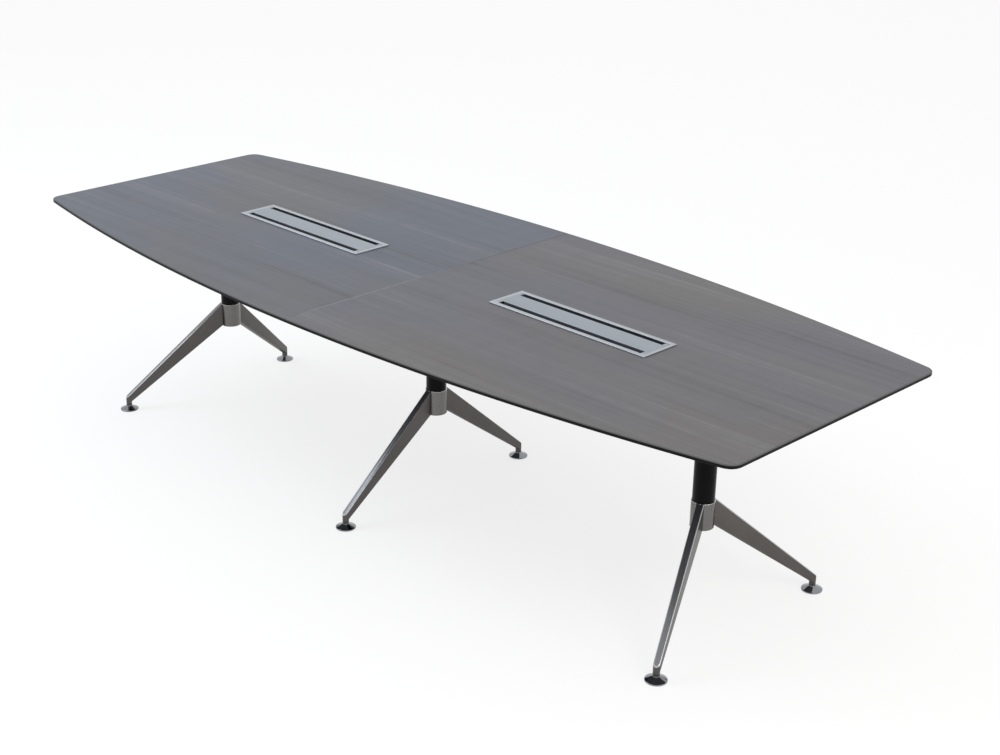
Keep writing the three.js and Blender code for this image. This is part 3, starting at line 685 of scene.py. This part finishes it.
def top_panel(side, way):
    work = bmesh.new()
    board = moved_in(OUTLINE, BAND + BAND_GAP)
    eased = [p + Vector((SEAM_ARRIS if p.x - SEAM < MERGE else 0, 0)) for p in board]
    upper = ring(work, eased, TOP, way)
    shoulder = ring(work, board, TOP - SEAM_ARRIS, way)
    lower = ring(work, board, TOP - EDGE_HEIGHT, way)
    under = ring(work, UNDER_OUTLINE, UNDERSIDE, way)
    hole_top = ring(work, cut_out(side), TOP, way)
    hole_under = ring(work, cut_out(side), UNDERSIDE, way)
    wall(work, upper, shoulder)
    wall(work, shoulder, lower)
    for patch in wall(work, lower, under):
        patch.material_index = 1
    wall(work, hole_top, hole_under)
    face(work, upper + hole_top)
    face(work, under + hole_under)
    bmesh.ops.recalc_face_normals(work, faces=work.faces)
    finishes = [WOOD[side], EDGE]
    node = f"top_panel_{side}"
    return stand_for(f"grained_top_{side}", work, node, "grey_wood", *finishes, sharp=PANEL_SHARP)


def edge_band(side, way):
    work = bmesh.new()
    inner = list(reversed(moved_in(OUTLINE, BAND)))
    bottom = TOP - EDGE_HEIGHT
    levels = [(LOWER_ROUND * (1 - math.sin(a)), bottom + LOWER_ROUND * (1 - math.cos(a))) for a in QUARTER]
    levels += [(UPPER_ROUND * (1 - math.cos(a)), TOP - UPPER_ROUND * (1 - math.sin(a))) for a in QUARTER]
    rings = [ring(work, moved_in(OUTLINE, inset) + inner, z, way) for inset, z in levels]
    for below, above in zip(rings, rings[1:]):
        wall(work, below, above)
    face(work, rings[0])
    face(work, rings[-1])
    bmesh.ops.recalc_face_normals(work, faces=work.faces)
    node = f"edge_band_{side}"
    return stand_for(f"dark_band_{side}", work, node, "dark_edge", EDGE, sharp=ROUND_SHARP)


for side, way in (("left", -1), ("right", 1)):
    made = [top_panel(side, way), edge_band(side, way)]
    print("top:", [(o.name, len(o.data.polygons)) for o in made])

# %% [markdown]
# ## Cable boxes
# Each box is a thin frame let into the top, a lid on two pins, and a tray below. They are folded or
# extruded metal. Sheets with a Solidify modifier could make them, but the solids have every fold already,
# so a copy with eased edges is enough. The skirt of the frame, which goes down through the top, is painted
# dark, a painted shade that makes the slots look dark.

# %% Frames, lids, trays and pins
SHEET_EASE = 0.0003
PIN_EASE = 0.0002

for side in ("left", "right"):
    node = f"box_frame_{side}"
    rim = copy_of(node, SHEET_EASE)
    # Faces below the top take the painted shade of the skirt.
    for patch in rim.faces:
        patch.material_index = int(patch.calc_center_median().z < TOP)
    stand_for(f"flush_frame_{side}", rim, node, "brushed_aluminium", FRAME_METAL, SKIRT_PAINTED_SHADE)
    node = f"box_lid_{side}"
    stand_for(f"flip_lid_{side}", copy_of(node, SHEET_EASE), node, "brushed_aluminium", LID_METAL)
    node = f"cable_tray_{side}"
    stand_for(f"folded_tray_{side}", copy_of(node), node, "black_steel", BLACK_COAT)
    for end in ("inner", "outer"):
        node = f"hinge_pin_{side}_{end}"
        pin = copy_of(node, PIN_EASE)
        stand_for(f"lid_pin_{side}_{end}", pin, node, "zinc_steel", ZINC, sharp=ROUND_SHARP)
print("boxes dressed")

# %% [markdown]
# The brushes close the slots beside the lid: rows of fine nylon strands, held in a backing under the
# lid. Hair particles could make them, but they leave no mesh behind. Short tapered strands keep a real
# one, and each of them swings, shortens and droops a little in its turn, so that no two neighbours are
# alike.

# %% Brushes
STRANDS = 230
STRAND_ROWS = 3
STRAND_SIDES = 4
STRAND_RADIUS = 0.00075
STRAND_TIP = 0.00035
STRAND_ROOT = 0.001
ROW_SPREAD = 0.26
SWING, SWING_TURN = 0.0007, 2.4
SHORTER, SHORTER_TURN = 0.04, 1.7
DROOP, DROOP_TURN = 0.0006, 3.1
BACKING = 0.005
BACKING_EASE = 0.0006


def backing(size, middle):
    work = bmesh.new()
    bmesh.ops.create_cube(work, size=1)
    bmesh.ops.scale(work, vec=size, verts=work.verts)
    bmesh.ops.translate(work, vec=middle, verts=work.verts)
    rules = {"affect": "EDGES", "segments": 2, "profile": 0.5, "material": -1}
    bmesh.ops.bevel(work, geom=work.edges, offset=BACKING_EASE, **rules)
    return work


def strand(work, start, end):
    turn = (end - start).to_track_quat("Z", "Y").to_matrix().to_4x4()
    lay = Matrix.Translation((start + end) / 2) @ turn
    shape = {"radius1": STRAND_RADIUS, "radius2": STRAND_TIP, "depth": (end - start).length}
    bmesh.ops.create_cone(work, cap_ends=True, segments=STRAND_SIDES, matrix=lay, **shape)


def brush(side, row):
    node = f"brush_strip_{side}_{row}"
    low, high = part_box(node)
    way = 1 if row == "back" else -1
    root = low.y + BACKING if way > 0 else high.y - BACKING
    tip = high.y if way > 0 else low.y
    size = Vector((high.x - low.x, BACKING, high.z - low.z))
    middle = Vector(((low.x + high.x) / 2, root - way * BACKING / 2, (low.z + high.z) / 2))
    work = backing(size, middle)
    pitch = size.x / STRANDS
    for i in range(STRANDS):
        level = middle.z + (i % STRAND_ROWS - 1) * size.z * ROW_SPREAD
        swing = SWING * math.sin(i * SWING_TURN)
        reach = abs(tip - root) * (1 - SHORTER * (1 + math.sin(i * SHORTER_TURN)))
        droop = DROOP * (1 + math.cos(i * DROOP_TURN))
        start = Vector((low.x + pitch * (i + 0.5), root - way * STRAND_ROOT, level))
        strand(work, start, Vector((start.x + swing, root + way * reach, level - droop)))
    bmesh.ops.recalc_face_normals(work, faces=work.faces)
    return stand_for(f"nylon_brush_{side}_{row}", work, node, "black_bristle", BRISTLE)


for side in ("left", "right"):
    for row in ("front", "back"):
        made = brush(side, row)
        print(made.name, len(made.data.polygons), "faces")

# %% [markdown]
# ## Underframe
# Rails and plates carry the top. They are out of sight from above but not from below. They are plain
# steel sections, so nothing is gained by modelling them again: copies of their solids get eased edges.

# %% Rails and plates
STEEL_EASE = 0.0008
PLATE_EASE = 0.0004

for side in ("left", "right"):
    for row in ("front", "back"):
        node = f"stiffening_rail_{side}_{row}"
        stand_for(f"steel_rail_{side}_{row}", copy_of(node, STEEL_EASE), node, "black_steel", BLACK_COAT)
for row in ("front", "back"):
    node = f"joining_plate_{row}"
    stand_for(f"seam_plate_{row}", copy_of(node, PLATE_EASE), node, "zinc_steel", ZINC)
for unit in ("left", "middle", "right"):
    node = f"head_plate_{unit}"
    stand_for(f"top_plate_{unit}", copy_of(node, STEEL_EASE), node, "black_steel", BLACK_COAT)
print("rails and plates dressed")

# %% [markdown]
# Screws hold the plates and the trays. Each could be an object, but there would be dozens of them, so
# all the screws of one plate make one piece. A head is a short cone, and its recess is the lower disc,
# inset and pushed up.

# %% Screws
SCREW_SIDES = 16
HEAD_TAPER = 0.72
RECESS_MARGIN = 0.36
RECESS_DEPTH = 0.55
SEAM_SCREW = {"radius": 0.0046, "height": 0.0026}
PLATE_BOLT = {"radius": 0.0075, "height": 0.0050}
TRAY_SCREW = {"radius": 0.0042, "height": 0.0024}
SEAM_MARGINS = (0.015, 0.015)
BOLT_MARGINS = (0.025, 0.030)
TRAY_MARGIN = 0.008
TRAY_LIP = 0.0017


def screw_head(work, place, radius, height):
    """A pan head under the point, with a round recess, facing down."""
    lay = Matrix.Translation(Vector(place) - Vector((0, 0, height / 2)))
    shape = {"radius1": radius * HEAD_TAPER, "radius2": radius, "depth": height}
    made = bmesh.ops.create_cone(work, cap_ends=True, segments=SCREW_SIDES, matrix=lay, **shape)["verts"]
    disc = min((f for v in made for f in v.link_faces), key=lambda f: f.calc_center_median().z)
    bmesh.ops.inset_individual(work, faces=[disc], thickness=radius * RECESS_MARGIN)
    bmesh.ops.translate(work, vec=(0, 0, height * RECESS_DEPTH), verts=disc.verts)


def screws(name, node, places, size):
    work = bmesh.new()
    for place in places:
        screw_head(work, place, **size)
    bmesh.ops.recalc_face_normals(work, faces=work.faces)
    return finish_piece(name, work, node, "zinc_steel", ZINC)


def corner_places(node, margin_x, margin_y):
    low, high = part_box(node)
    across = [low.y + margin_y, high.y - margin_y]
    return [(x, y, low.z) for x in (low.x + margin_x, high.x - margin_x) for y in across]


def ledge_places(side):
    """Three places along both ledges of a tray, which lie against the top."""
    low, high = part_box(f"cable_tray_{side}")
    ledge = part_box(f"stiffening_rail_{side}_front")[1].z - TRAY_LIP
    along = [low.x + TRAY_MARGIN, (low.x + high.x) / 2, high.x - TRAY_MARGIN]
    return [(x, y, ledge) for x in along for y in (low.y + TRAY_MARGIN, high.y - TRAY_MARGIN)]


for row in ("front", "back"):
    node = f"joining_plate_{row}"
    screws(f"seam_screws_{row}", node, corner_places(node, *SEAM_MARGINS), SEAM_SCREW)
for unit in ("left", "middle", "right"):
    node = f"head_plate_{unit}"
    screws(f"plate_bolts_{unit}", node, corner_places(node, *BOLT_MARGINS), PLATE_BOLT)
for side in ("left", "right"):
    screws(f"tray_screws_{side}", f"cable_tray_{side}", ledge_places(side), TRAY_SCREW)
print("underframe screwed together")

# %% [markdown]
# ## Pedestals
# Columns, collars and caps are turned. A cylinder would do for each, but its corners would be
# knife-sharp, so half a section is drawn with rounded corners and spun about the axis, as on a lathe.

# %% Turned pieces
LATHE_STEPS = 72
ROOM = 0.45


def rounded(points, radius, steps=4):
    """A half section with each inner corner drawn as a short curve."""
    made = [Vector(points[0])]
    for before, corner, after in zip(points, points[1:], points[2:]):
        before, corner, after = Vector(before), Vector(corner), Vector(after)
        room = min((before - corner).length, (after - corner).length) * ROOM
        size = min(radius, room)
        start = corner + (before - corner).normalized() * size
        end = corner + (after - corner).normalized() * size
        made += quadratic(start, corner, end, steps)
    return made + [Vector(points[-1])]


def turned(section, axis, steps=LATHE_STEPS):
    work = bmesh.new()
    verts = [work.verts.new((axis.x + p.x, axis.y, p.y)) for p in section]
    edges = [work.edges.new(pair) for pair in zip(verts, verts[1:])]
    spin = {"cent": (axis.x, axis.y, 0), "axis": (0, 0, 1), "angle": 2 * math.pi, "steps": steps}
    bmesh.ops.spin(work, geom=verts + edges, dvec=(0, 0, 0), use_merge=True, **spin)
    bmesh.ops.remove_doubles(work, verts=work.verts, dist=MERGE)
    bmesh.ops.recalc_face_normals(work, faces=work.faces)
    return work


def reach_of(node):
    """Radius, bottom and top of a round node."""
    low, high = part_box(node)
    return (high.x - low.x) / 2, low.z, high.z


print("lathe ready,", LATHE_STEPS, "steps to a turn")

# %% [markdown]
# The column is a steel tube, the collar is a wider tube that slides over its foot, and a plug closes the
# bottom. A tube could be a surface with a Solidify modifier, but a closed section gives the bore its own
# true size. The upper rim of the collar is polished, and its second finish is also much paler: a painted
# highlight round the rim.

# %% Columns, collars and caps
COLUMN_WALL = 0.0025
COLUMN_EASE = 0.0006
COLLAR_WALL = 0.002
COLLAR_EASE = 0.0009
RIM_HEIGHT = 0.0012
CAP_FLANGE = 0.003
CAP_PLUG = 0.0292
CAP_EASE = 0.0008


def tube(node, wall_thickness, ease):
    """A turned tube in the place of a node: outer wall, both ends and bore."""
    outer, bottom, top = reach_of(node)
    inner = outer - wall_thickness
    bore = (inner, (bottom + top) / 2)
    section = [bore, (inner, bottom), (outer, bottom), (outer, top), (inner, top)]
    return turned(rounded(section, ease) + [Vector(bore)], middle_of(node))


def cap(node):
    outer, bottom, top = reach_of(node)
    step = bottom + CAP_FLANGE
    flange = [(0, bottom), (outer, bottom), (outer, step)]
    plug = [(CAP_PLUG, step), (CAP_PLUG, top), (0, top)]
    return turned(rounded(flange + plug, CAP_EASE), middle_of(node))


def polish_and_highlight_rim(work):
    """The second finish, polished and with a painted highlight, for the faces of the upper rim."""
    top = max(v.co.z for v in work.verts)
    for patch in work.faces:
        patch.material_index = int(patch.calc_center_median().z > top - RIM_HEIGHT)


for unit in ("left", "middle", "right"):
    node = f"column_{unit}"
    column = tube(node, COLUMN_WALL, COLUMN_EASE)
    stand_for(f"black_column_{unit}", column, node, "black_steel", BLACK_COAT)
    node = f"collar_{unit}"
    collar = tube(node, COLLAR_WALL, COLLAR_EASE)
    polish_and_highlight_rim(collar)
    stand_for(f"bright_collar_{unit}", collar, node, "satin_aluminium", COLLAR_METAL, RIM_PAINTED_HIGHLIGHT)
    node = f"column_cap_{unit}"
    stand_for(f"bottom_cap_{unit}", cap(node), node, "black_plastic", BLACK_PLASTIC)
print("columns, collars and caps turned")

# %% [markdown]
# ## Feet
# Each foot is a chromed bell on a black glide, on a threaded stem. The bell is hollow below, where it
# holds the glide. A plain cone would show a straight outline, so its flank is a curve that hollows a
# little.

# %% Bells and glides
BELL_NECK = 0.010
BELL_BORE = 0.0053
BELL_FLOOR = 0.0053
BELL_RECESS = 0.0033
BELL_LIP = 0.003
BELL_RIM = 0.0036
CONE_START_IN, CONE_START_UP = 0.001, 0.0042
CONE_END_DOWN = 0.002
CONE_HOLLOW = Vector((0.0006, 0.0006))
CONE_STEPS = 14
LIP_EASE = 0.0009
FOOT_EASE = 0.0008


def bell(node):
    outer, bottom, top = reach_of(node)
    start = Vector((outer - CONE_START_IN, bottom + CONE_START_UP))
    end = Vector((BELL_NECK, top - CONE_END_DOWN))
    cone = quadratic(start, start.lerp(end, 0.5) - CONE_HOLLOW, end, CONE_STEPS)
    lip = outer - BELL_LIP
    roof = bottom + BELL_RECESS
    floor = bottom + BELL_FLOOR
    recess = [(0, roof), (lip, roof), (lip, bottom)]
    rim = [(outer, bottom), (outer, bottom + BELL_RIM), start]
    neck = [end, (BELL_NECK, top), (BELL_BORE, top), (BELL_BORE, floor), (0, floor)]
    section = rounded(recess + rim, LIP_EASE) + cone[1:-1] + rounded(neck, FOOT_EASE)
    return turned(section, middle_of(node))


def glide(node):
    outer, bottom, top = reach_of(node)
    section = [(0, bottom), (outer, bottom), (outer, top), (0, top)]
    return turned(rounded(section, FOOT_EASE), middle_of(node))


print("bell neck", BELL_NECK, "and bore", BELL_BORE)

# %% [markdown]
# A bump in the finish could fake the thread of a stem, but its outline shows when a foot is screwed
# out, so it is a shape: a spin that also climbs draws the ridge as a true helix round a plain rod.

# %% Threaded stems
THREAD_PITCH = 0.0015
THREAD_DEPTH = 0.0008
THREAD_ROOT = 0.0003
THREAD_SLACK = 0.0001
CREST_FROM, CREST_TO = 0.0005, 0.0007
THREAD_WIDTH = 0.0012
TURN_STEPS = 20


def climb(work, loop, axis, turns):
    """Spin a closed loop of verts and edges up a helix and close both its ends."""
    verts, edges = loop
    path = {"cent": (axis.x, axis.y, 0), "axis": (0, 0, 1), "dvec": (0, 0, THREAD_PITCH / TURN_STEPS)}
    steps = {"angle": 2 * math.pi * turns, "steps": TURN_STEPS * turns, "use_merge": False}
    made = bmesh.ops.spin(work, geom=verts + edges, **path, **steps)
    bmesh.ops.contextual_create(work, geom=edges)
    last = [e for e in made["geom_last"] if isinstance(e, bmesh.types.BMEdge)]
    bmesh.ops.contextual_create(work, geom=last)


def threaded_stem(node):
    outer, bottom, top = reach_of(node)
    axis = middle_of(node)
    core = outer - THREAD_DEPTH
    rod = [(0, bottom), (core, bottom), (core, top), (0, top)]
    work = turned([Vector(p) for p in rod], axis, TURN_STEPS)
    root, crest = core - THREAD_ROOT, outer - THREAD_SLACK
    ridge = [(root, 0.0), (crest, CREST_FROM), (crest, CREST_TO), (root, THREAD_WIDTH)]
    verts = [work.verts.new((axis.x + r, axis.y, bottom + z)) for r, z in ridge]
    edges = [work.edges.new(pair) for pair in zip(verts, verts[1:] + verts[:1])]
    climb(work, (verts, edges), axis, int((top - bottom) / THREAD_PITCH) - 1)
    bmesh.ops.recalc_face_normals(work, faces=work.faces)
    return work


for unit in ("left", "middle", "right"):
    for row in ("front", "back"):
        place = f"{unit}_{row}"
        node = f"foot_bell_{place}"
        stand_for(f"chrome_bell_{place}", bell(node), node, "chrome", CHROME)
        node = f"foot_stem_{place}"
        stand_for(f"threaded_stem_{place}", threaded_stem(node), node, "zinc_steel", ZINC)
        node = f"foot_pad_{place}"
        stand_for(f"glide_{place}", glide(node), node, "black_plastic", BLACK_PLASTIC)
print("feet turned")

# %% [markdown]
# ## Arms
# The arms are cast and tapered. They could be lofted again from sections, but the frame already has their
# exact form with the saddle against the collar, so a copy is eased along its edges, as a polished casting
# is. The way a face points decides its colour: the upper face is painted lighter as if lit from above, the
# sloping arrises carry a painted highlight, and the flat sides are painted darker, a painted shade.

# %% Cast arms
ARM_EASE = 0.0009
ARM_EASE_STEPS = 3
# Faces pointing up past these limits get the painted highlight of the arrises and the painted light of the
# top.
ARRIS_ABOVE = 0.15
LIT_TOP_ABOVE = 0.7


def cast_arm(unit, row):
    node = f"arm_{unit}_{row}"
    work = copy_of(node, ARM_EASE, ARM_EASE_STEPS)
    root = middle_of(f"collar_{unit}")
    slope = (middle_of(f"foot_bell_{unit}_{row}") - root).normalized()
    across = Vector((-slope.y, slope.x, 0)).normalized()
    rise = slope.cross(across)
    layer = work.loops.layers.uv.new("along_the_arm")
    work.normal_update()
    for patch in work.faces:
        patch.material_index = int(patch.normal.z > ARRIS_ABOVE) + int(patch.normal.z > LIT_TOP_ABOVE)
        for loop in patch.loops:
            reach = loop.vert.co - root
            loop[layer].uv = (reach.dot(slope), reach.dot(rise) + reach.dot(across))
    finishes = [ARM_SIDE_PAINTED_SHADE, ARM_ARRIS_PAINTED_HIGHLIGHT, ARM_TOP_PAINTED_LIGHT]
    return stand_for(f"cast_arm_{unit}_{row}", work, node, "satin_aluminium", *finishes)


for unit in ("left", "middle", "right"):
    for row in ("front", "back"):
        made = cast_arm(unit, row)
        print(made.name, len(made.data.polygons), "faces")
